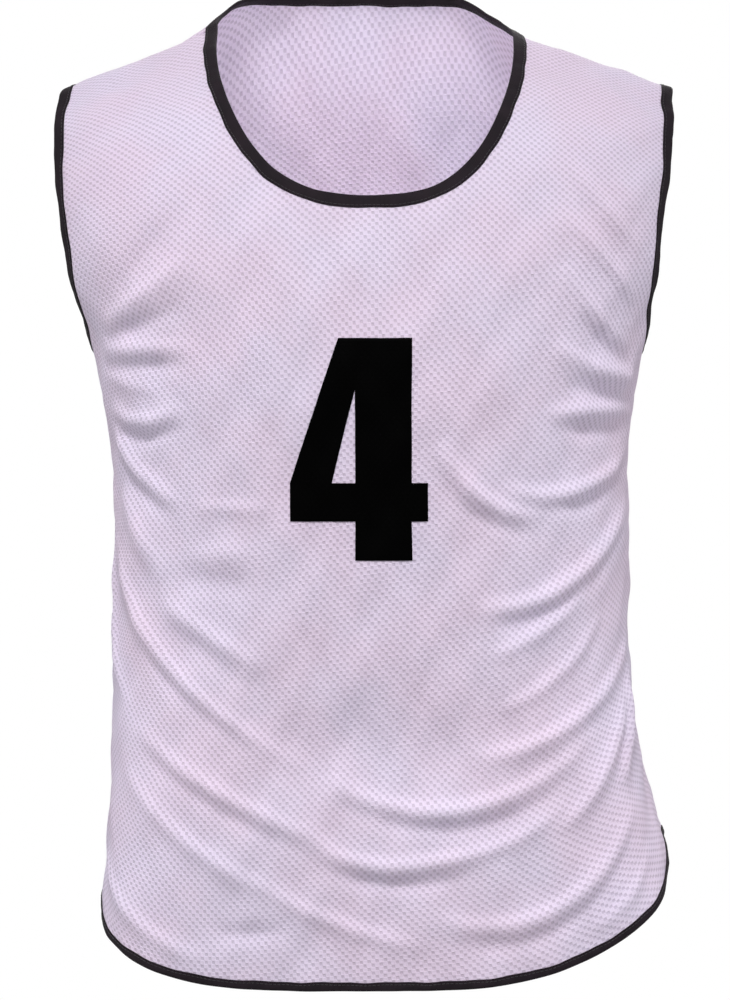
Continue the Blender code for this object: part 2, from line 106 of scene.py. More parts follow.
# Each fold is a bent line on the flat pattern, in millimetres: where it starts, a place it
# passes half way and where it ends, each as across and up, then the half width of the fold
# and its height. A trough has a height below nothing.
FOLD_COLUMNS = (
    "from_across", "from_up", "half_across", "half_up", "to_across", "to_up", "half_width",
    "height",
)
FRONT_LEFT_FOLDS = (
    # From the underarm, fanning up over the chest.
    (-222, 477, -169, 497, -132, 520, 10, 5.7),
    (-228, 468, -185, 474, -140, 488, 7, -3.2),
    (-231, 459, -180, 459, -138, 460, 8, 4.3),
    (-236, 449, -185, 448, -145, 447, 7, -3.5),
    (-243, 444, -201, 435, -172, 430, 5, 2.4),
    (-237, 418, -189, 407, -150, 420, 9, 4.9),
    (-240, 408, -195, 395, -152, 405, 8, -4.3),
    (-236, 402, -201, 369, -154, 345, 9, 4.9),
    (-241, 389, -208, 358, -165, 336, 7, -3.2),
    (-196, 499, -168, 523, -145, 550, 9, -2.4),
    # Round the ribs and down to the middle.
    (-230, 355, -204, 324, -172, 292, 14, 5.6),
    (-144, 344, -112, 345, -82, 343, 7, 2.6),
    (-156, 303, -126, 311, -84, 309, 14, 2.6),
    (-164, 286, -128, 292, -86, 284, 16, -3.8),
    (-174, 276, -140, 256, -82, 229, 11, 5.0),
    (-168, 258, -135, 241, -88, 214, 13, -3.4),
    (-262, 335, -250, 238, -206, 186, 7, 3.5),
    (-243, 308, -171, 230, -52, 160, 9, 6.2),
    (-200, 238, -148, 204, -75, 166, 8, -3.0),
    (-199, 178, -122, 141, -22, 103, 9, 4.6),
    (-188, 160, -120, 129, -38, 97, 8, -2.7),
    # Down the belly.
    (-42, 108, 10, 90, 82, 96, 8, 4.9),
    (-34, 92, 14, 76, 78, 82, 7, -3.2),
    (-204, 140, -142, 101, -78, 72, 8, 4.6),
    (-94, 82, -27, 50, 46, 30, 7, 3.5),
    (-242, 62, -176, 29, -120, 18, 9, 4.1),
    (-118, 36, -91, 39, -56, 42, 9, -3.5),
)
FRONT_RIGHT_FOLDS = (
    # Beside the armhole, running down to the underarm.
    (150, 603, 180, 563, 216, 532, 8, 4.4),
    (150, 554, 182, 522, 221, 494, 8, 5.0),
    (160, 540, 190, 508, 224, 482, 7, -2.4),
    (155, 517, 176, 487, 228, 459, 8, 4.6),
    (168, 484, 198, 462, 236, 451, 8, -4.1),
    (150, 462, 194, 445, 250, 441, 8, 5.7),
    (160, 434, 205, 428, 256, 427, 10, -4.9),
    (145, 412, 188, 415, 257, 416, 7, 4.3),
    (155, 401, 200, 400, 258, 401, 9, -4.3),
    # Smiles from the side seam towards the middle.
    (112, 360, 171, 353, 251, 382, 8, 5.4),
    (145, 344, 198, 346, 256, 371, 8, -3.8),
    (61, 392, 93, 352, 148, 336, 8, 6.0),
    (60, 374, 90, 340, 138, 325, 7, -2.4),
    (90, 275, 161, 283, 248, 339, 9, 6.4),
    (98, 262, 165, 270, 240, 320, 8, -3.2),
    (97, 238, 150, 256, 197, 291, 7, 4.0),
    (104, 198, 161, 220, 204, 258, 7, 4.0),
    (83, 167, 161, 177, 250, 219, 9, 5.8),
    (-33, 154, 69, 129, 194, 169, 9, 5.4),
    (-22, 138, 70, 115, 165, 142, 8, -3.0),
    (28, 95, 93, 99, 155, 122, 7, 3.8),
    (146, 103, 186, 130, 234, 185, 8, 5.8),
    (205, 110, 226, 150, 247, 206, 8, 5.8),
    (45, 52, 141, 46, 215, 95, 10, 5.4),
    (62, 36, 142, 31, 208, 76, 9, -3.2),
    (158, 22, 186, 25, 222, 48, 7, 3.2),
)
FRONT_MIDDLE_FOLDS = (
    (-92, 620, -98, 501, -104, 385, 16, -1.8),
    (-62, 600, -66, 500, -74, 400, 18, 1.4),
    (26, 560, 28, 502, 26, 470, 14, -1.6),
    (-128, 640, -147, 600, -160, 560, 18, 1.6),
    (110, 640, 116, 595, 112, 540, 18, 1.2),
    (-20, 300, -31, 251, -45, 205, 14, -1.8),
    (50, 300, 54, 250, 45, 200, 18, -1.2),
    (-110, 188, 10, 174, 120, 190, 50, -9.0),
)
BACK_FOLDS = (
    # From each underarm across the shoulder blades.
    (-265, 470, -184, 510, -110, 570, 12, 5.4),
    (-275, 452, -191, 469, -110, 500, 8, -3.5),
    (-272, 436, -189, 445, -105, 462, 8, 3.8),
    (-270, 415, -180, 417, -90, 430, 10, -3.8),
    (-268, 385, -190, 370, -110, 375, 9, 4.3),
    (265, 475, 191, 514, 120, 580, 12, 5.4),
    (275, 455, 196, 474, 118, 508, 8, -3.5),
    (272, 438, 191, 446, 112, 468, 8, 3.8),
    (272, 412, 182, 412, 95, 424, 10, -3.8),
    (268, 388, 188, 371, 105, 372, 9, 4.3),
    # Hanging across the small of the back.
    (-270, 350, -158, 284, -20, 262, 12, 5.9),
    (-268, 318, -157, 254, -20, 236, 10, -4.1),
    (-262, 285, -170, 225, -60, 205, 9, 4.1),
    (-150, 330, -75, 312, 10, 308, 14, 3.5),
    (265, 335, 156, 276, 20, 268, 12, 5.9),
    (268, 300, 157, 245, 20, 236, 10, -4.1),
    (262, 262, 178, 210, 70, 196, 9, 4.1),
    (150, 345, 88, 321, 20, 316, 13, 3.2),
    (-265, 215, -149, 142, 10, 112, 11, 5.4),
    (-262, 182, -150, 113, 0, 86, 9, -3.2),
    (265, 195, 154, 125, 10, 96, 11, 5.4),
    (262, 160, 156, 96, 20, 70, 9, -3.2),
    (-255, 110, -181, 64, -90, 40, 9, 3.8),
    (250, 100, 180, 58, 90, 34, 9, 3.8),
    (-70, 640, -80, 540, -92, 440, 18, -2.7),
    (80, 640, 88, 542, 96, 450, 18, -2.7),
    (-5, 660, 0, 562, 4, 470, 22, 2.4),
)
FOLD_STEPS = 20
FOLD_TAPER = 0.7
FOLD_NARROWNESS = 1.5
FOLD_FALLOFF = 1.5
FOLD_REACH = 3.2
RIDGE_LEAN = 0.3

# Small unevenness of the cloth: waves along each way, in millimetres.
RIPPLE_COLUMNS = ("across_length", "up_length", "shift", "height")
RIPPLES = (
    (61, 97, 0.0, 0.45),
    (-43, 59, 1.7, 0.35),
    (113, -71, 3.1, 0.50),
    (29, 37, 4.4, 0.16),
    (-23, 47, 0.9, 0.14),
)

# Cells of the panels' grids along each block's lines.
FRONT_CELLS = {
    "underarm": 22, "strap": 37, "middle": 54, "trunk": 136, "chest": 38, "shoulder": 42,
}
BACK_CELLS = {
    "underarm": 20, "strap": 33, "middle": 48, "trunk": 120, "chest": 60, "shoulder": 16,
}

# The mesh's holes lie in a centred lattice, with rows that rise to the right. They join up
# a little along the lines that fall to the right. The steps are where on the lattice's
# wave a hole, and the rim round it, begin and are whole.
HOLE_PITCH = 0.0057
HOLE_ROW_SLANT = 0.13
HOLE_WANDER_SCALE = 160.0
HOLE_STEP = (-0.25, 0.70)
HOLE_RIM_STEP = (-0.60, 0.0)
FALLING_SHARE = 0.54
KNIT_PITCH = 0.00095
RIB_PITCH = 0.0009
WEAVE_PITCH = 0.0006

# Colours. Each pair is the two ends of a cloudy mix.
CLOTH_COLOURS = ((0.835, 0.712, 0.877, 1), (0.825, 0.745, 0.918, 1))
# The holes' colours are painted shade: the dim inside of the bib seen through the holes, painted on
# cloth that is opaque.
HOLE_SHADE_COLOURS = ((0.480, 0.370, 0.490, 1), (0.450, 0.385, 0.525, 1))
YARN_COLOUR = (0.700, 0.610, 0.740, 1)
TAPE_COLOURS = ((0.009, 0.006, 0.009, 1), (0.018, 0.012, 0.017, 1))
RIB_COLOUR = (0.030, 0.022, 0.029, 1)
INK_COLOURS = ((0.0004, 0.0004, 0.0004, 1), (0.0010, 0.0010, 0.0011, 1))
BLACK_THREAD_COLOURS = ((0.010, 0.009, 0.011, 1), (0.030, 0.027, 0.032, 1))
WHITE_THREAD_COLOURS = ((0.62, 0.58, 0.66, 1), (0.80, 0.76, 0.84, 1))
FLOOR_COLOURS = ((0.78, 0.78, 0.78, 1), (0.82, 0.82, 0.82, 1))

# The number's outline on the flat pattern, in millimetres, and the hole in it.
NUMBER_OUTLINE = (
    (-21, 465), (36, 465), (37.5, 362.5), (50.5, 362.5), (50.5, 335.5), (37.5, 335.5), (38, 308),
    (-8, 308), (-8, 335.5), (-62, 335.5), (-62, 362.5),
)
NUMBER_HOLE = ((-8, 430), (-8, 362.5), (-27.5, 362.5))
NUMBER_CELL = 0.002
NUMBER_FILM = 0.0002
NUMBER_LIFT = 0.00035

# The tape's puckers and its waves: how far apart and how high. Then where it is sewn, in
# from its inner edge and off the cloth's middle.
PUCKER_STEP = 0.011
PUCKER_SECOND = 0.62
PUCKER_SHARE = 0.10
WAVE_STEP = 0.047
WAVE_HEIGHT = 0.00030
WAVE_SECOND_HEIGHT = 0.00018
TAPE_SEWN_IN = 0.0018
TAPE_SEWN_OFF = 0.00134

STITCH_STEP = 0.0031
STITCH_LENGTH = 0.0026
STITCH_WIDTH = 0.00055
STITCH_FLATNESS = 0.7

# The cloth turns in at its seams, and the seam allowances lie flat behind it.
SEAM_ROLL_DEPTH = 0.0009
SEAM_ROLL_REACH = 0.0022
ALLOWANCE_WIDTH = 0.0065
ALLOWANCE_WALL = 0.0014
ALLOWANCE_DEPTH = 0.0022
ALLOWANCE_CELLS = 3
ALLOWANCE_COUNT = 110
ALLOWANCE_SHOULDER_START = 0.128
OVERLOCK_LIFT = 0.0009

# The studio. The world is brighter where the camera sees it than as a light.
CAMERA_PLACE = (0, -2.4, -0.345)
CAMERA_LENS = 115
CAMERA_SENSOR = 36
FLOOR_HEIGHT = -1.45
FLOOR_RADIUS = 3.2
FLOOR_SEGMENTS = 96
WORLD_SEEN = 1.0
WORLD_LIGHT = 0.24
LIGHTS = {
    "key": {
        "place": (-0.25, -2.2, 2.2), "target": (0, -0.1, -0.65), "size": (1.8, 0.36),
        "watts": 6.2, "colour": (1.0, 0.98, 0.98), "spread": 0.70,
    },
    "front_fill": {
        "place": (0.2, -2.8, 0.5), "target": (0, 0, -0.05), "size": (2.4, 1.2),
        "watts": 2.2, "colour": (1.0, 0.97, 0.99), "spread": 1.4,
    },
    "right_side": {
        "place": (2.6, -0.6, 0.4), "target": (0.15, 0, -0.3), "size": (1.0, 1.4),
        "watts": 18, "colour": (1.0, 0.98, 1.0), "spread": np.pi,
    },
    "left_side": {
        "place": (-2.6, -0.6, 0.4), "target": (-0.15, 0, -0.3), "size": (1.0, 1.4),
        "watts": 18, "colour": (1.0, 0.98, 1.0), "spread": np.pi,
    },
    "inside_neck": {
        "place": (0, -0.045, -0.02), "target": (0, 0.12, -0.10), "size": (0.20, 0.14),
        "watts": 0.13, "colour": (1.0, 1.0, 1.0), "spread": np.pi,
    },
    "behind": {
        "place": (0.5, 2.4, 1.4), "target": (0, 0, -0.45), "size": (1.8, 1.0),
        "watts": 34, "colour": (1.0, 0.99, 0.98), "spread": np.pi,
    },
}


def named_columns(names, rows):
    return dict(zip(names, np.array(rows, float).T))


def smooth_through(knots, values, at):
    """A curve through the values at the knots, without corners, read at any places."""
    slopes = np.gradient(values, knots)
    i = np.clip(np.searchsorted(knots, at) - 1, 0, len(knots) - 2)
    gap = knots[i + 1] - knots[i]
    t = (at - knots[i]) / gap
    start = (1 + 2 * t) * (1 - t) ** 2 * values[i] + t * (1 - t) ** 2 * gap * slopes[i]
    end = t**2 * (3 - 2 * t) * values[i + 1] + t**2 * (t - 1) * gap * slopes[i + 1]
    return start + end


def over_the_shoulder(front, back):
    """One value for each section from the front hem to the back hem."""
    return np.concatenate([front, back[-2::-1]])


TABLE = named_columns(SECTION_COLUMNS, SECTIONS)
KNOTS = over_the_shoulder(TABLE["level"], 2 - TABLE["level"])
LOFT = {
    name: over_the_shoulder(TABLE[name], TABLE[name])
    for name in ("left", "right", "side_z", "squareness")
}
LOFT["depth"] = over_the_shoulder(-TABLE["front_y"], TABLE["back_y"])
LOFT["middle_z"] = over_the_shoulder(TABLE["front_z"], TABLE["back_z"])


def section_arc(share, width, depth, squareness):
    """Where a share of the way from the centre to the side falls on each section."""
    turn = np.linspace(0, np.pi / 2, SECTION_STEPS)
    power = 2 / squareness[:, None]
    x = width[:, None] * np.sin(turn) ** power
    y = depth[:, None] * np.cos(turn) ** power
    steps = np.hypot(np.diff(x, axis=1), np.diff(y, axis=1))
    run = np.concatenate([np.zeros((len(x), 1)), np.cumsum(steps, axis=1)], axis=1)
    reach = share * run[:, -1]
    i = np.clip((run < reach[:, None]).sum(axis=1) - 1, 0, SECTION_STEPS - 2)
    row = np.arange(len(x))
    t = (reach - run[row, i]) / (run[row, i + 1] - run[row, i])
    return x[row, i] + t * (x[row, i + 1] - x[row, i]), y[row, i] + t * (y[row, i + 1] - y[row, i])


def level_of(along):
    return 1 - np.abs(1 - along)


def front_along(level):
    return level


def back_along(level):
    return 2 - level


def round_the_side(across, along):
    """Past a side seam, the same place counted from the other panel's centre line."""
    past = np.abs(across) > 1
    return np.where(past, np.sign(across) * 2 - across, across), np.where(past, 2 - along, along)


def form_point(across, along):
    """The smooth form of the cloth, before its folds."""
    across, along = round_the_side(across, along)
    loft = {name: smooth_through(KNOTS, values, along) for name, values in LOFT.items()}
    width = np.where(across < 0, loft["left"], loft["right"])
    share = np.abs(across)
    x, y = section_arc(share, width, np.abs(loft["depth"]), loft["squareness"])
    z = loft["middle_z"] + (loft["side_z"] - loft["middle_z"]) * share**SHOULDER_CURVE
    rise = np.where(across < 0, HEM_RISE_LEFT, HEM_RISE_RIGHT)
    climb = np.where(across < 0, HEM_CLIMB_LEFT, HEM_CLIMB_RIGHT)
    above_hem = np.clip(1 - level_of(along) / UNDERARM, 0, 1) ** HEM_FADE
    z = z + rise * (1 - np.cos(np.pi * share**climb)) / 2 * above_hem
    half_width = np.where(across < 0, NAPE_HALF_LEFT, NAPE_HALF_RIGHT)
    nape = np.exp(-((x / half_width) ** NAPE_SQUARENESS))
    nape = nape * np.exp(-(((along - NAPE_ALONG) / NAPE_SPREAD) ** 2))
    return np.stack([np.sign(across) * x, np.sign(along - 1) * y, z + NAPE_HEIGHT * nape], axis=1)


def facing(place, across, along):
    """The outward direction of a surface, from places a little to each side."""
    sideways = place(across + FACING_REACH, along) - place(across - FACING_REACH, along)
    upwards = place(across, along + FACING_REACH) - place(across, along - FACING_REACH)
    out = np.cross(sideways, upwards)
    return out / np.linalg.norm(out, axis=1)[:, None]


def fold_height(fold, across, up):
    """How far one fold lifts each place of the flat pattern, all in millimetres."""
    t = np.linspace(0, 1, FOLD_STEPS)[:, None]
    start = np.array([fold["from_across"], fold["from_up"]])
    end = np.array([fold["to_across"], fold["to_up"]])
    bend = 2 * np.array([fold["half_across"], fold["half_up"]]) - (start + end) / 2
    line = (1 - t) ** 2 * start + 2 * t * (1 - t) * bend + t**2 * end
    places = np.stack([across, up], axis=1)
    margin = FOLD_REACH * fold["half_width"]
    low, high = line.min(axis=0) - margin, line.max(axis=0) + margin
    near = ((places > low) & (places < high)).all(axis=1)
    lift = np.zeros(len(places))
    if not near.any():
        return lift
    leg = line[1:] - line[:-1]
    offset = places[near][:, None, :] - line[:-1]
    along_leg = np.clip((offset * leg).sum(axis=2) / (leg**2).sum(axis=1), 0, 1)
    away = np.linalg.norm(offset - along_leg[:, :, None] * leg, axis=2)
    nearest = away.argmin(axis=1)
    row = np.arange(len(nearest))
    t_near = (nearest + along_leg[row, nearest]) / (FOLD_STEPS - 1)
    taper = np.sin(np.pi * np.clip(t_near, 0, 1)) ** FOLD_TAPER
    # A ridge leans up: it falls off faster above its line than below it.
    way, out = leg[nearest], offset[row, nearest]
    above = (way[:, 0] * out[:, 1] - way[:, 1] * out[:, 0]) * np.sign(way[:, 0]) > 0
    lean = RIDGE_LEAN if fold["height"] > 0 else 0
    half_width = fold["half_width"] * np.where(above, 1 - lean, 1 + lean)
    spread = np.cosh(FOLD_NARROWNESS * away[row, nearest] / half_width) ** FOLD_FALLOFF
    lift[near] = fold["height"] * taper / spread
    return lift


def ripple(across, up):
    total = np.zeros(len(across))
    for row in RIPPLES:
        wave = dict(zip(RIPPLE_COLUMNS, row))
        turn = across / wave["across_length"] + up / wave["up_length"]
        total += wave["height"] * np.sin(2 * np.pi * turn + wave["shift"])
    return total


def relief(across, along):
    """The folds of both panels, each also where it runs on round the side seam, in metres."""
    across, along = round_the_side(across, along)
    other = np.sign(across) * 2 - across
    up = level_of(along) * PATTERN_LENGTH * 1000
    on_front = along < 1
    total = ripple(np.where(on_front, across, other) * PATTERN_QUARTER * 1000, up)
    front_folds = FRONT_LEFT_FOLDS + FRONT_RIGHT_FOLDS + FRONT_MIDDLE_FOLDS
    for folds, on_this_panel in ((front_folds, on_front), (BACK_FOLDS, ~on_front)):
        from_centre = np.where(on_this_panel, across, other) * PATTERN_QUARTER * 1000
        for row in folds:
            total += fold_height(dict(zip(FOLD_COLUMNS, row)), from_centre, up)
    return total / 1000


def cloth_point(across, along):
    base = form_point(across, along)
    return base + facing(form_point, across, along) * relief(across, along)[:, None]


def armhole_line():
    """The armhole on the flat pattern, from the side seam round and up to the shoulder seam."""
    turn = np.linspace(0, np.pi / 2, LINE_STEPS)
    side, bottom = PATTERN_QUARTER - SEAM_GAP / 2, UNDERARM * PATTERN_LENGTH
    across = side - (side - ARMHOLE_EDGE) * np.sin(turn)
    up = bottom + ARMHOLE_ROUND * (1 - np.cos(turn))
    straight = np.linspace(up[-1], SEAM_TOP, LINE_STEPS)[1:]
    across = np.concatenate([across, np.full(len(straight), ARMHOLE_EDGE)])
    return np.stack([across, np.concatenate([up, straight])], axis=1)


def across_at(x, along):
    """How far across the flat pattern a place is that is x from the centre line."""
    share = np.linspace(0, 1, LINE_STEPS) * np.sign(x)
    found = form_point(share, np.full(LINE_STEPS, along))
    return np.interp(abs(x), np.abs(found[:, 0]), np.abs(share)) * np.sign(x) * PATTERN_QUARTER


def neck_line(low_level, along_of):
    """The neck on the flat pattern, from the left shoulder seam down and up to the right one."""
    places = []
    for turn in np.linspace(-np.pi / 2, np.pi / 2, LINE_STEPS):
        level = 1 - (1 - low_level) * np.cos(turn) ** NECK_DEPTH_POWER
        power = NECK_POWER_LEFT if turn < 0 else NECK_POWER_RIGHT
        x = NECK_HALF_WIDTH * np.sign(turn) * abs(np.sin(turn)) ** power
        places.append((across_at(x, along_of(level)), min(level * PATTERN_LENGTH, SEAM_TOP)))
    return np.array(places)


def runs(line):
    return np.concatenate([[0], np.cumsum(np.linalg.norm(np.diff(line, axis=0), axis=1))])


def spaced(line, start, end, cells):
    """Evenly spaced places along a line, between two of its runs."""
    at = np.linspace(start, end, cells + 1)
    run = runs(line)
    return np.stack([np.interp(at, run, line[:, 0]), np.interp(at, run, line[:, 1])], axis=1)


def on_cloth(places, along_of):
    return cloth_point(places[:, 0] / PATTERN_QUARTER, along_of(places[:, 1] / PATTERN_LENGTH))


def strip_lines(line, start, end, cells, width, along_of):
    """Two rows of places: on a line, and a strip's width to the right of its way."""
    rim = spaced(line, start, end, cells)
    last = runs(line)[-1]
    ahead = spaced(line, min(start + LINE_REACH, last), min(end + LINE_REACH, last), cells)
    behind = spaced(line, max(start - LINE_REACH, 0), max(end - LINE_REACH, 0), cells)
    way = ahead - behind
    way /= np.linalg.norm(way, axis=1)[:, None]
    square = np.stack([way[:, 1], -way[:, 0]], axis=1) * width
    measured = np.linalg.norm(on_cloth(rim, along_of) - on_cloth(rim + square, along_of), axis=1)
    return rim, rim + square * (width / measured)[:, None]


def filled(bottom, top, left, right):
    """A grid of places between four lines that share their end places."""
    t = np.linspace(0, 1, len(bottom))[None, :, None]
    s = np.linspace(0, 1, len(left))[:, None, None]
    ruled = (1 - s) * bottom[None] + s * top[None] + (1 - t) * left[:, None] + t * right[:, None]
    low = (1 - t) * bottom[0] + t * bottom[-1]
    high = (1 - t) * top[0] + t * top[-1]
    return ruled - (1 - s) * low - s * high


def between(start, end, cells):
    return start + (end - start) * np.linspace(0, 1, cells + 1)[:, None]


def mirrored(line):
    return line * np.array([-1, 1])


class Pattern:
    """The cells of one panel on the flat pattern, welded where their points meet."""

    def __init__(self):
        self.places = []
        self.index = {}
        self.faces = []

    def point(self, place):
        key = tuple(int(round(value / WELD)) for value in place)
        if key not in self.index:
            self.index[key] = len(self.places)
            self.places.append(tuple(place))
        return self.index[key]

    def add(self, grid):
        index = [[self.point(place) for place in row] for row in grid]
        for low, high in zip(index, index[1:]):
            for c in range(len(low) - 1):
                self.faces.append((low[c], low[c + 1], high[c + 1], high[c]))

    def pairs(self, rim, inner):
        return [(self.point(a), self.point(b)) for a, b in zip(rim, inner)]


def panel_pattern(cells, low_level, along_of):
    """One panel's cells, and its free edges as pairs of a rim point and an inner one."""
    under, strap, middle = cells["underarm"], cells["strap"], cells["middle"]
    side = PATTERN_QUARTER - SEAM_GAP / 2
    arm = armhole_line()
    arm_turns = np.linspace(0, np.pi / 2, LINE_STEPS)
    arm_corner = np.interp(ARMHOLE_CORNER, arm_turns, runs(arm)[:LINE_STEPS])
    neck = neck_line(low_level, along_of)
    neck_run = runs(neck)
    neck_turns = np.linspace(-np.pi / 2, np.pi / 2, LINE_STEPS)
    neck_low, neck_high = np.interp([-NECK_CORNER, NECK_CORNER], neck_turns, neck_run)
    corner_up = np.interp(neck_low, neck_run, neck[:, 1]) - STRIP_MARGIN
    arm_shoulder = np.interp(corner_up, arm[:, 1], runs(arm))

    # A strip lies to the right of its line's way, so the armhole is drawn on the left
    # side of the body, where the cloth is to the right of the way up, and mirrored.
    left_arm = mirrored(arm)
    strip = {edge: width + STRIP_MARGIN for edge, width in BINDING_WIDTHS.items()}
    arm_ends = (0, arm_corner, arm_shoulder, runs(arm)[-1])
    arm_cells = (under, cells["chest"], cells["shoulder"])
    neck_ends = (0, neck_low, neck_high, neck_run[-1])
    neck_cells = (cells["shoulder"], middle, cells["shoulder"])
    arm_parts = [
        strip_lines(left_arm, start, end, count, strip["left_armhole"], along_of)
        for start, end, count in zip(arm_ends, arm_ends[1:], arm_cells)
    ]
    neck_parts = [
        strip_lines(neck, start, end, count, strip["neck"], along_of)
        for start, end, count in zip(neck_ends, neck_ends[1:], neck_cells)
    ]
    # The strips' ends lie exactly in the seams.
    arm_parts[0][1][0, 0] = -side
    neck_parts[0][1][0, 1] = neck_parts[2][1][-1, 1] = SEAM_TOP

    columns = 2 * under + 2 * strap + middle
    hem = between(np.array([-side, 0]), np.array([side, 0]), columns)
    hem_inner = strip_lines(hem[::-1], 0, 2 * side, columns, strip["hem"], along_of)[1][::-1]
    low, up, top = (inner for rim, inner in arm_parts)
    down, across, rise = (inner for rim, inner in neck_parts)
    armpits = between(low[-1], mirrored(low[-1]), columns - 2 * under)
    trunk_top = np.concatenate([low[:-1], armpits, mirrored(low[:-1])[::-1]])
    left_side = between(hem_inner[0], low[0], cells["trunk"])
    right_side = between(hem_inner[-1], mirrored(low[0]), cells["trunk"])
    left_strap = between(up[-1], across[0], strap)
    right_strap = between(across[-1], mirrored(up[-1]), strap)
    chest_top = np.concatenate([left_strap[:-1], across, right_strap[1:]])
    left_seam = between(top[-1], down[0], strap)
    right_seam = between(rise[-1], mirrored(top[-1]), strap)

    pattern = Pattern()
    pattern.add([hem_inner, hem])
    pattern.add(filled(hem_inner, trunk_top, left_side, right_side))
    pattern.add(filled(armpits, chest_top, up, mirrored(up)))
    pattern.add(filled(left_strap, left_seam, top, down[::-1]))
    pattern.add(filled(right_strap, right_seam, rise, mirrored(top)))
    for rim, inner in arm_parts:
        pattern.add([inner, rim])
        pattern.add([mirrored(inner), mirrored(rim)])
    for rim, inner in neck_parts:
        pattern.add([inner, rim])

    def joined(parts):
        rims = np.concatenate([parts[0][0], parts[1][0][1:], parts[2][0][1:]])
        inners = np.concatenate([parts[0][1], parts[1][1][1:], parts[2][1][1:]])
        return rims, inners

    arm_rim, arm_inner = joined(arm_parts)
    edges = {
        "hem": pattern.pairs(hem, hem_inner),
        "left_armhole": pattern.pairs(arm_rim, arm_inner),
        "right_armhole": pattern.pairs(mirrored(arm_rim), mirrored(arm_inner)),
        "neck": pattern.pairs(*joined(neck_parts)),
    }
    return np.array(pattern.places), pattern.faces, edges


# Finishes.


class Socket:
    """A value in a node tree, on which arithmetic adds Math nodes."""

    def __init__(self, tree, output):
        self.tree = tree
        self.output = output

    def math(self, operation, *values):
        return self.tree.node("ShaderNodeMath", {"operation": operation}, dict(enumerate(values)))

    def __add__(self, other):
        return self.math("ADD", self, other)

    def __sub__(self, other):
        return self.math("SUBTRACT", self, other)

    def __rsub__(self, other):
        return self.math("SUBTRACT", other, self)

    def __mul__(self, other):
        return self.math("MULTIPLY", self, other)

    __radd__ = __add__
    __rmul__ = __mul__

    def cosine(self):
        return self.math("COSINE", self)

    def step_between(self, low, high):
        """0 below low and 1 above high, with a soft step between."""
        values = {0: self, 1: low, 2: high}
        return self.tree.node("ShaderNodeMapRange", {"interpolation_type": "SMOOTHSTEP"}, values)


class Tree:
    """A node tree, filled one node at a time."""

    def __init__(self, nodes, links):
        self.nodes = nodes
        self.links = links

    def feed(self, socket, value):
        if isinstance(value, Socket):
            self.links.new(value.output, socket)
        else:
            socket.default_value = value

    def node(self, kind, settings, values, output=0):
        """Adds a node: its settings first, then the values or links of its sockets."""
        made = self.nodes.new(kind)
        for name, value in settings.items():
            setattr(made, name, value)
        for name, value in values.items():
            self.feed(made.inputs[name], value)
        return Socket(self, made.outputs[output])

    def mixed(self, factor, first, second):
        """A colour between two colours."""
        return self.node("ShaderNodeMix", {"data_type": "RGBA"}, {0: factor, 6: first, 7: second}, 2)

    def noise(self, vector, scale, detail):
        values = {"Vector": vector, "Scale": scale, "Detail": detail, "Roughness": 0.5}
        return self.node("ShaderNodeTexNoise", {}, values)


class Finish(Tree):
    """A material with a Principled shader, and the places that its patterns read."""

    def __init__(self, name, constants):
        self.material = bpy.data.materials.new(name)
        self.material.use_nodes = True
        tree = self.material.node_tree
        super().__init__(tree.nodes, tree.links)
        self.shader = tree.nodes["Principled BSDF"]
        for socket, value in constants.items():
            self.shader.inputs[socket].default_value = value

    def set(self, socket, value):
        self.feed(self.shader.inputs[socket], value)

    def flat(self):
        """The place on the flat pattern, in metres: the piece's own UV map."""
        return self.node("ShaderNodeUVMap", {"uv_map": "flat"}, {})

    def parts(self, vector):
        across = self.node("ShaderNodeSeparateXYZ", {}, {0: vector}, 0)
        up = self.node("ShaderNodeSeparateXYZ", {}, {0: vector}, 1)
        return across, up

    def bump(self, height, distance, strength, below=None):
        values = {"Height": height, "Distance": distance, "Strength": strength}
        if below:
            values["Normal"] = below
        return self.node("ShaderNodeBump", {}, values)


def mesh_cloth_finish():
    """White mesh with a lilac cast: rows of small holes, painted darker as painted shade of the
    bib's inside seen through them, and a fine knit between them.
    """
    finish = Finish(
        "mesh_cloth", {"Specular IOR Level": 0.2, "Sheen Weight": 0.15, "Sheen Roughness": 0.5}
    )
    flat = finish.flat()
    across, up = finish.parts(flat)
    wander = finish.noise(flat, HOLE_WANDER_SCALE, 1.0) - 0.5
    turn = 2 * np.pi / HOLE_PITCH
    columns = across * turn + wander * 0.5
    rows = (up - across * HOLE_ROW_SLANT) * turn + wander * 0.4
    falling = (columns + rows).cosine() * FALLING_SHARE
    lattice = falling + (columns - rows).cosine() * (1 - FALLING_SHARE)
    hole = lattice.step_between(*HOLE_STEP)
    rim = lattice.step_between(*HOLE_RIM_STEP) - hole
    knit_turn = 2 * np.pi / KNIT_PITCH
    knit = ((across + up) * knit_turn).cosine() * ((across - up) * knit_turn).cosine()
    cloudy = finish.noise(flat, 9.0, 3.0).step_between(0.35, 0.65)
    yarn = finish.noise(flat, 700.0, 2.0).step_between(0.3, 0.7)
    base = finish.mixed(cloudy, *CLOTH_COLOURS)
    base = finish.mixed(yarn * 0.12, base, YARN_COLOUR)
    # The holes are painted darker: painted shade of the bib's inside seen through them.
    painted_hole_shade = finish.mixed(cloudy, *HOLE_SHADE_COLOURS)
    finish.set("Base Color", finish.mixed(hole * 0.52, base, painted_hole_shade))
    finish.set("Roughness", 0.78 + hole * 0.12)
    fine = finish.bump(knit, 0.00012, 0.5)
    finish.set("Normal", finish.bump(rim * 0.4 - hole, 0.0006, 0.55, fine))
    return finish.material


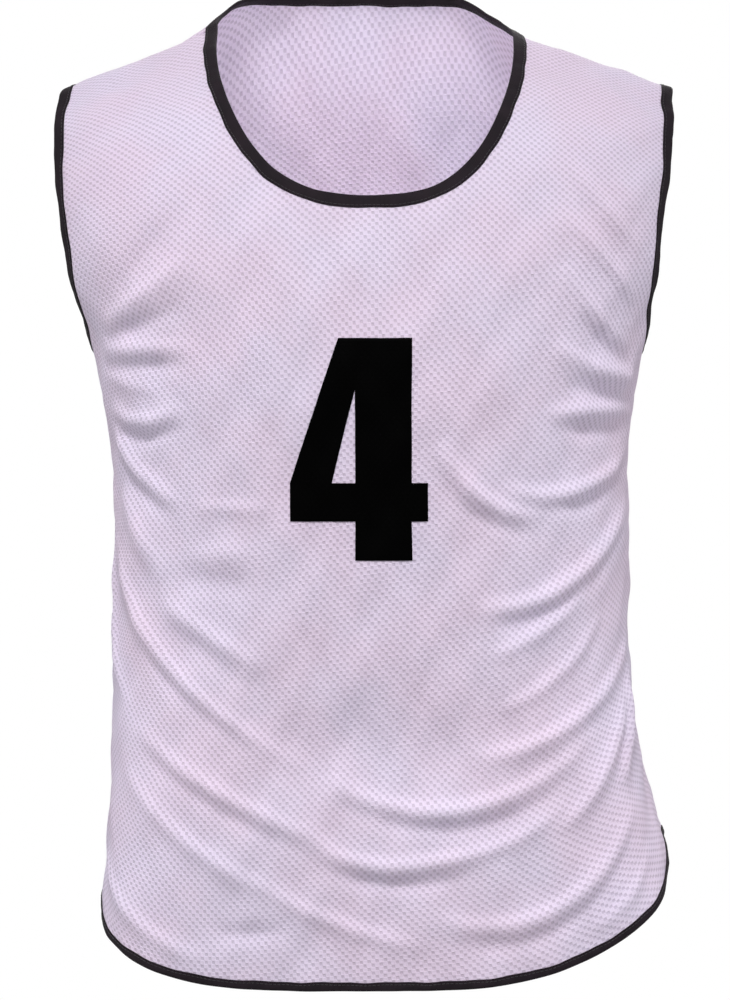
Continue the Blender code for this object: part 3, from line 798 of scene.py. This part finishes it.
def tape_finish():
    """Black folded tape with fine ribs across it."""
    finish = Finish(
        "tape", {"Specular IOR Level": 0.14, "Sheen Weight": 0.03, "Sheen Roughness": 0.4}
    )
    flat = finish.flat()
    run, over = finish.parts(flat)
    ribs = (run * (2 * np.pi / RIB_PITCH)).cosine()
    weave = (over * (2 * np.pi / WEAVE_PITCH)).cosine()
    cloudy = finish.noise(flat, 60.0, 3.0).step_between(0.3, 0.7)
    base = finish.mixed(cloudy, *TAPE_COLOURS)
    finish.set("Base Color", finish.mixed(ribs * 0.15 + 0.15, base, RIB_COLOUR))
    finish.set("Roughness", 0.62 + cloudy * 0.14)
    finish.set("Normal", finish.bump(ribs + weave * 0.4, 0.00010, 0.8))
    return finish.material


def print_finish():
    """Flat black ink film, a little smoother than the cloth under it."""
    finish = Finish("number_print", {"Specular IOR Level": 0.015})
    flat = finish.flat()
    across, up = finish.parts(flat)
    turn = 2 * np.pi / HOLE_PITCH
    dimple = ((across * turn).cosine() * (up * turn).cosine()).step_between(0.45, 0.9)
    cloudy = finish.noise(flat, 40.0, 2.0)
    finish.set("Base Color", finish.mixed(cloudy, *INK_COLOURS))
    finish.set("Roughness", 0.55 + cloudy * 0.12)
    finish.set("Normal", finish.bump(dimple * -1.0, 0.0003, 0.4))
    return finish.material


def thread_finish(name, colours):
    finish = Finish(name, {"Specular IOR Level": 0.4, "Sheen Weight": 0.2})
    place = finish.node("ShaderNodeTexCoord", {}, {}, 3)
    twist = finish.noise(place, 2200.0, 1.0)
    finish.set("Base Color", finish.mixed(twist, *colours))
    finish.set("Roughness", 0.5 + twist * 0.25)
    return finish.material


def floor_finish():
    finish = Finish("studio_floor", {"Roughness": 0.8, "Specular IOR Level": 0.2})
    place = finish.node("ShaderNodeTexCoord", {}, {}, 3)
    mottle = finish.noise(place, 1.4, 2.0)
    finish.set("Base Color", finish.mixed(mottle, *FLOOR_COLOURS))
    return finish.material


# Pieces.


def make_piece(name, points, faces, flat, material):
    """A mesh object with its places on the flat pattern in the UV map called flat."""
    mesh = bpy.data.meshes.new(name)
    mesh.from_pydata([tuple(p) for p in points], [], faces)
    layer = mesh.uv_layers.new(name="flat")
    corners = np.empty(len(mesh.loops), dtype=np.int64)
    mesh.loops.foreach_get("vertex_index", corners)
    layer.data.foreach_set("uv", np.asarray(flat, float)[corners].ravel())
    work = bmesh.new()
    work.from_mesh(mesh)
    bmesh.ops.recalc_face_normals(work, faces=work.faces)
    work.to_mesh(mesh)
    work.free()
    mesh.materials.append(material)
    mesh.shade_smooth()
    made = bpy.data.objects.new(name, mesh)
    bpy.context.scene.collection.objects.link(made)
    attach(made, "root")
    return made


def wall(name, points, normals, faces, flat, thickness, material):
    """A sheet as a closed wall: an outer and an inner skin, joined round the edge."""
    count = len(points)
    skins = np.concatenate([points + normals * thickness / 2, points - normals * thickness / 2])
    uses = {}
    for face in faces:
        for a, b in zip(face, face[1:] + face[:1]):
            uses.setdefault(frozenset((a, b)), []).append((a, b))
    rim = [(b, a, a + count, b + count) for used in uses.values() if len(used) == 1 for a, b in used]
    inner = [tuple(i + count for i in reversed(face)) for face in faces]
    return make_piece(name, skins, faces + inner + rim, np.concatenate([flat, flat]), material)


def seam_roll(places):
    """How far the cloth turns in beside its seams, where it is sewn."""
    from_side = PATTERN_QUARTER - np.abs(places[:, 0])
    from_shoulder = PATTERN_LENGTH - places[:, 1]
    nearest = np.minimum(from_side, from_shoulder)
    return -SEAM_ROLL_DEPTH * np.exp(-((nearest / SEAM_ROLL_REACH) ** 2))


def build_panel(name, cells, low_level, along_of, material):
    places, faces, edges = panel_pattern(cells, low_level, along_of)
    across, along = places[:, 0] / PATTERN_QUARTER, along_of(places[:, 1] / PATTERN_LENGTH)
    points = cloth_point(across, along)
    normals = facing(cloth_point, across, along)
    rolled = points + normals * seam_roll(places)[:, None]
    piece = wall(name, rolled, normals, faces, places, CLOTH_WALL, material)
    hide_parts(name + "_panel")
    edges = {
        edge: [(points[rim], normals[rim], points[inner], normals[inner]) for rim, inner in pairs]
        for edge, pairs in edges.items()
    }
    return piece, edges


def tape_profile(width):
    """Half of the folded tape's outline, from its inner edge out to the fold: out, off."""
    return (
        (-width, 0.00060), (-width, 0.00098), (-width + 0.0003, 0.00120),
        (-width + 0.0012, 0.00128), (-width + TAPE_SEWN_IN, 0.00118), (-width + 0.0024, 0.00130),
        (-width * 0.45, 0.00145), (-0.0010, 0.00148), (0.0001, 0.00130), (0.0010, 0.00080),
        (0.0014, 0.0),
    )


def ring_of(front, back):
    """The stations round one free edge: the front's, then the back's the other way."""
    return front + back[-2:0:-1]


def station_frames(stations):
    rim, rim_facing, inner, inner_facing = (np.array(part) for part in zip(*stations))
    spacing = np.linalg.norm(inner - rim, axis=1)
    inwards = (inner - rim) / spacing[:, None]
    ahead = np.roll(rim, -1, axis=0) - rim
    run = np.concatenate([[0], np.cumsum(np.linalg.norm(ahead, axis=1))])
    return rim, rim_facing, inner_facing, inwards, spacing, run


def on_tape(frames, out, off):
    """The points round an edge that are out past it and off the cloth's middle."""
    rim, rim_facing, inner_facing, inwards, spacing, run = frames
    share = np.clip(-out / spacing, 0, 1)[:, None]
    up = rim_facing + (inner_facing - rim_facing) * share
    up /= np.linalg.norm(up, axis=1)[:, None]
    return rim - inwards * np.reshape(out, (-1, 1)) + up * np.reshape(off, (-1, 1)), up


def build_tape(edge, front, back, material, threads):
    """One binding: tape folded over the edge, puckered between stitches, with its sewing."""
    width = BINDING_WIDTHS[edge]
    frames = station_frames(ring_of(front, back))
    run = frames[5]
    ring = run[-1]
    stations = len(run) - 1
    puckers = round(ring / PUCKER_STEP)
    waves = round(ring / WAVE_STEP)
    turn = 2 * np.pi * run[:-1] / ring
    pucker = 0.5 * np.sin(turn * puckers) + 0.5 * np.sin(turn * int(puckers * PUCKER_SECOND) + 1.3)
    wave = WAVE_HEIGHT * np.sin(turn * waves)
    wave = wave + WAVE_SECOND_HEIGHT * np.sin(turn * (waves * 2 + 1) + 2.0)
    half = tape_profile(width)
    outline = [(out, off) for out, off in half] + [(out, -off) for out, off in half[-2::-1]]
    # The tape's inner face, along both sides of the cloth and round its edge.
    outline += [(0.0002, -0.0006), (0.0002, 0.0006)]
    points, flat = [], []
    over = 0.0
    last = outline[0]
    for out, off in outline:
        over += np.hypot(out - last[0], off - last[1])
        last = (out, off)
        on_outside = abs(off) > 0.0007 or out > 0.0005
        puff = 1 + PUCKER_SHARE * pucker * on_outside
        sway = wave * (out < -0.001)
        rows, _ = on_tape(frames, np.full(stations, out) + sway, off * puff)
        points.append(rows)
        flat.append(np.stack([run[:-1], np.full(stations, over)], axis=1))
    points, flat = np.stack(points, axis=1), np.stack(flat, axis=1)
    corners = points.shape[1]
    faces = []
    for here in range(stations):
        this, after = here * corners, (here + 1) % stations * corners
        for corner in range(corners):
            beside = (corner + 1) % corners
            faces.append((this + corner, after + corner, after + beside, this + beside))
    points, flat = points.reshape(-1, 3), flat.reshape(-1, 2)
    piece = make_piece(edge + "_tape", points, faces, flat, material)
    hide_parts(edge + "_binding")
    sewn = np.full(stations, -width + TAPE_SEWN_IN) + wave
    for side, sign in (("outer", 1), ("inner", -1)):
        path, up = on_tape(frames, sewn, np.full(stations, sign * TAPE_SEWN_OFF))
        stitches(edge + "_" + side + "_stitches", path, up * sign, True, threads)


def stitch_tree():
    """Geometry Nodes: a short thread at each point, lying along it and clear of the cloth."""
    group = bpy.data.node_groups.new("sewn_row", "GeometryNodeTree")
    face = group.interface
    face.new_socket("Geometry", in_out="INPUT", socket_type="NodeSocketGeometry")
    for name in ("Stitch Length", "Stitch Width"):
        face.new_socket(name, in_out="INPUT", socket_type="NodeSocketFloat")
    face.new_socket("Thread", in_out="INPUT", socket_type="NodeSocketMaterial")
    face.new_socket("Geometry", in_out="OUTPUT", socket_type="NodeSocketGeometry")
    tree = Tree(group.nodes, group.links)
    entry = group.nodes.new("NodeGroupInput")
    rows, length, width, thread = (Socket(tree, entry.outputs[i]) for i in range(4))
    bead = tree.node("GeometryNodeMeshUVSphere", {}, {"Segments": 8, "Rings": 6, "Radius": 0.5})
    size = tree.node("ShaderNodeCombineXYZ", {}, {0: length, 1: width, 2: width * STITCH_FLATNESS})
    way, lift = (
        tree.node("GeometryNodeInputNamedAttribute", {"data_type": "FLOAT_VECTOR"}, {"Name": name})
        for name in ("way", "lift")
    )
    align = "FunctionNodeAlignRotationToVector"
    turn = tree.node(align, {"axis": "X"}, {"Vector": way})
    turn = tree.node(align, {"axis": "Z", "pivot_axis": "X"}, {"Rotation": turn, "Vector": lift})
    values = {"Points": rows, "Instance": bead, "Rotation": turn, "Scale": size}
    placed = tree.node("GeometryNodeInstanceOnPoints", {}, values)
    real = tree.node("GeometryNodeRealizeInstances", {}, {0: placed})
    smooth = tree.node("GeometryNodeSetShadeSmooth", {}, {0: real})
    done = tree.node("GeometryNodeSetMaterial", {}, {"Geometry": smooth, "Material": thread})
    tree.feed(group.nodes.new("NodeGroupOutput").inputs[0], done)
    return group


def resampled(path, values, closed, step):
    """Evenly spaced places along a path, the way there, and other values read there."""
    if closed:
        path, values = np.vstack([path, path[:1]]), np.vstack([values, values[:1]])
    run = np.concatenate([[0], np.cumsum(np.linalg.norm(np.diff(path, axis=0), axis=1))])
    count = int(run[-1] / step)
    at = (np.arange(count) + 0.5) * run[-1] / count

    def read(rows, where):
        return np.stack([np.interp(where, run, rows[:, k]) for k in range(3)], axis=1)

    way = read(path, at + step / 4) - read(path, at - step / 4)
    return read(path, at), way, read(values, at)


def stitches(name, path, lift, closed, threads):
    """A row of stitches along a path, as one plain mesh."""
    spots, way, lift = resampled(path, lift, closed, STITCH_STEP)
    mesh = bpy.data.meshes.new(name + "_spots")
    mesh.from_pydata([tuple(p) for p in spots], [], [])
    for attribute, rows in (("way", way), ("lift", lift)):
        layer = mesh.attributes.new(attribute, "FLOAT_VECTOR", "POINT")
        layer.data.foreach_set("vector", np.asarray(rows, float).ravel())
    holder = bpy.data.objects.new(name + "_spots", mesh)
    bpy.context.scene.collection.objects.link(holder)
    tree, thread = threads
    modifier = holder.modifiers.new("sewn_row", "NODES")
    modifier.node_group = tree
    inputs = {"Stitch Length": STITCH_LENGTH, "Stitch Width": STITCH_WIDTH, "Thread": thread}
    for item in tree.interface.items_tree:
        if item.item_type == "SOCKET" and item.in_out == "INPUT" and item.name in inputs:
            modifier[item.identifier] = inputs[item.name]
    holder.update_tag()
    bpy.context.view_layer.update()
    ready = holder.evaluated_get(bpy.context.evaluated_depsgraph_get())
    row = bpy.data.objects.new(name, bpy.data.meshes.new_from_object(ready))
    bpy.context.scene.collection.objects.link(row)
    bpy.data.objects.remove(holder)
    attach(row, "root")


def inside(x, y, outline):
    """Whether a place lies inside an outline."""
    crossings = 0
    for (x0, y0), (x1, y1) in zip(outline, outline[1:] + outline[:1]):
        if (y0 > y) != (y1 > y) and x < x0 + (y - y0) * (x1 - x0) / (y1 - y0):
            crossings += 1
    return crossings % 2 == 1


def build_number(material):
    """The number as a thin film, cut from a grid on the flat pattern and laid on the front."""
    outline = tuple((x / 1000, y / 1000) for x, y in NUMBER_OUTLINE)
    hole = tuple((x / 1000, y / 1000) for x, y in NUMBER_HOLE)
    low = np.array(outline).min(axis=0)
    high = np.array(outline).max(axis=0)
    counts = np.ceil((high - low) / NUMBER_CELL).astype(int)
    work = bmesh.new()
    bmesh.ops.create_grid(work, x_segments=int(counts[0]), y_segments=int(counts[1]), size=0.5)
    middle = (low + high) / 2
    for vert in work.verts:
        vert.co.x = middle[0] + vert.co.x * (high[0] - low[0])
        vert.co.y = middle[1] + vert.co.y * (high[1] - low[1])
    for loop in (outline, hole):
        for (x0, y0), (x1, y1) in zip(loop, loop[1:] + loop[:1]):
            geometry = work.verts[:] + work.edges[:] + work.faces[:]
            out = Vector((y1 - y0, x0 - x1, 0)).normalized()
            bmesh.ops.bisect_plane(
                work, geom=geometry, plane_co=(x0, y0, 0), plane_no=out, dist=WELD
            )
    outside = []
    for face in work.faces:
        centre = face.calc_center_median()
        if not inside(centre.x, centre.y, outline) or inside(centre.x, centre.y, hole):
            outside.append(face)
    bmesh.ops.delete(work, geom=outside, context="FACES")
    bmesh.ops.remove_doubles(work, verts=work.verts, dist=1e-5)
    places = np.array([vert.co[:2] for vert in work.verts])
    faces = [tuple(vert.index for vert in face.verts) for face in work.faces]
    work.free()
    across, along = places[:, 0] / PATTERN_QUARTER, places[:, 1] / PATTERN_LENGTH
    normals = facing(cloth_point, across, along)
    lift = CLOTH_WALL / 2 + NUMBER_LIFT + NUMBER_FILM / 2
    points = cloth_point(across, along) + normals * lift
    return wall("number_print", points, normals, faces, places, NUMBER_FILM, material)


def build_seam_allowance(name, places, material, threads):
    """The sewn allowance inside a seam: a narrow doubled strip laid flat on the back panel."""
    start, end, way_in = places
    line = between(np.array(start), np.array(end), ALLOWANCE_COUNT)
    cell = np.array(way_in) * ALLOWANCE_WIDTH / ALLOWANCE_CELLS
    flat = np.concatenate([line + cell * k for k in range(ALLOWANCE_CELLS + 1)])
    across, along = flat[:, 0] / PATTERN_QUARTER, back_along(flat[:, 1] / PATTERN_LENGTH)
    normals = facing(cloth_point, across, along)
    points = cloth_point(across, along) - normals * ALLOWANCE_DEPTH
    row = ALLOWANCE_COUNT + 1
    faces = [
        (k * row + i, k * row + i + 1, (k + 1) * row + i + 1, (k + 1) * row + i)
        for k in range(ALLOWANCE_CELLS)
        for i in range(ALLOWANCE_COUNT)
    ]
    wall(name, points, normals, faces, flat, ALLOWANCE_WALL, material)
    sewn = slice(2 * row, 3 * row)
    path = points[sewn] - normals[sewn] * OVERLOCK_LIFT
    stitches(name + "_overlock", path, -normals[sewn], False, threads)


def build_seam_allowances(material, threads):
    low, high = 0.010, UNDERARM * PATTERN_LENGTH - 0.012
    inner, outer = ALLOWANCE_SHOULDER_START, ARMHOLE_EDGE - 0.010
    side, top = PATTERN_QUARTER, PATTERN_LENGTH
    strips = {
        "left_side_seam": ((-side, low), (-side, high), (1, 0)),
        "right_side_seam": ((side, low), (side, high), (-1, 0)),
        "left_shoulder_seam": ((-inner, top), (-outer, top), (0, -1)),
        "right_shoulder_seam": ((inner, top), (outer, top), (0, -1)),
    }
    for name, places in strips.items():
        build_seam_allowance(name, places, material, threads)


def build_bib():
    cloth = mesh_cloth_finish()
    tape = tape_finish()
    sewing = stitch_tree()
    black_thread = (sewing, thread_finish("black_thread", BLACK_THREAD_COLOURS))
    white_thread = (sewing, thread_finish("white_thread", WHITE_THREAD_COLOURS))
    front, front_edges = build_panel("front", FRONT_CELLS, FRONT_NECK_LEVEL, front_along, cloth)
    back, back_edges = build_panel("back", BACK_CELLS, BACK_NECK_LEVEL, back_along, cloth)
    for edge in BINDING_WIDTHS:
        build_tape(edge, front_edges[edge], back_edges[edge], tape, black_thread)
    build_seam_allowances(cloth, white_thread)
    build_number(print_finish())


# Studio.


def build_camera():
    """Level with the middle of the bib, so the photo's middle is the camera's axis."""
    camera = bpy.data.objects.new("camera", bpy.data.cameras.new("camera"))
    bpy.context.scene.collection.objects.link(camera)
    camera.data.lens = CAMERA_LENS
    camera.data.sensor_width = CAMERA_SENSOR
    camera.location = CAMERA_PLACE
    camera.rotation_euler = (np.radians(90), 0, 0)
    bpy.context.scene.camera = camera


def area_light(name, place, target, size, watts, colour, spread):
    light = bpy.data.lights.new(name, "AREA")
    light.shape = "RECTANGLE"
    light.size, light.size_y = size
    light.energy = watts
    light.color = colour
    light.spread = spread
    lamp = bpy.data.objects.new(name, light)
    bpy.context.scene.collection.objects.link(lamp)
    lamp.visible_camera = False
    lamp.location = place
    lamp.rotation_euler = (Vector(target) - Vector(place)).to_track_quat("-Z", "Y").to_euler()


def build_lights():
    for name, settings in LIGHTS.items():
        area_light(name, **settings)


def build_world():
    """White where the camera sees past the bib, and dimmer as a light."""
    world = bpy.data.worlds.new("studio")
    world.use_nodes = True
    bpy.context.scene.world = world
    tree = Tree(world.node_tree.nodes, world.node_tree.links)
    background = world.node_tree.nodes["Background"]
    seen = tree.node("ShaderNodeLightPath", {}, {}, 0)
    tree.feed(background.inputs["Color"], (1, 1, 1, 1))
    tree.feed(background.inputs["Strength"], seen * (WORLD_SEEN - WORLD_LIGHT) + WORLD_LIGHT)


def build_floor():
    mesh = bpy.data.meshes.new("floor")
    work = bmesh.new()
    bmesh.ops.create_circle(work, cap_ends=True, segments=FLOOR_SEGMENTS, radius=FLOOR_RADIUS)
    work.to_mesh(mesh)
    work.free()
    mesh.transform(Matrix.Translation((0, 0, FLOOR_HEIGHT)))
    mesh.materials.append(floor_finish())
    floor = bpy.data.objects.new("floor", mesh)
    bpy.context.scene.collection.objects.link(floor)


def set_view():
    view = bpy.context.scene.view_settings
    view.view_transform = "Standard"
    view.look = "None"
    view.exposure = 0.0
    view.gamma = 1.0


build_camera()
build_world()
build_lights()
build_floor()
set_view()
build_bib()
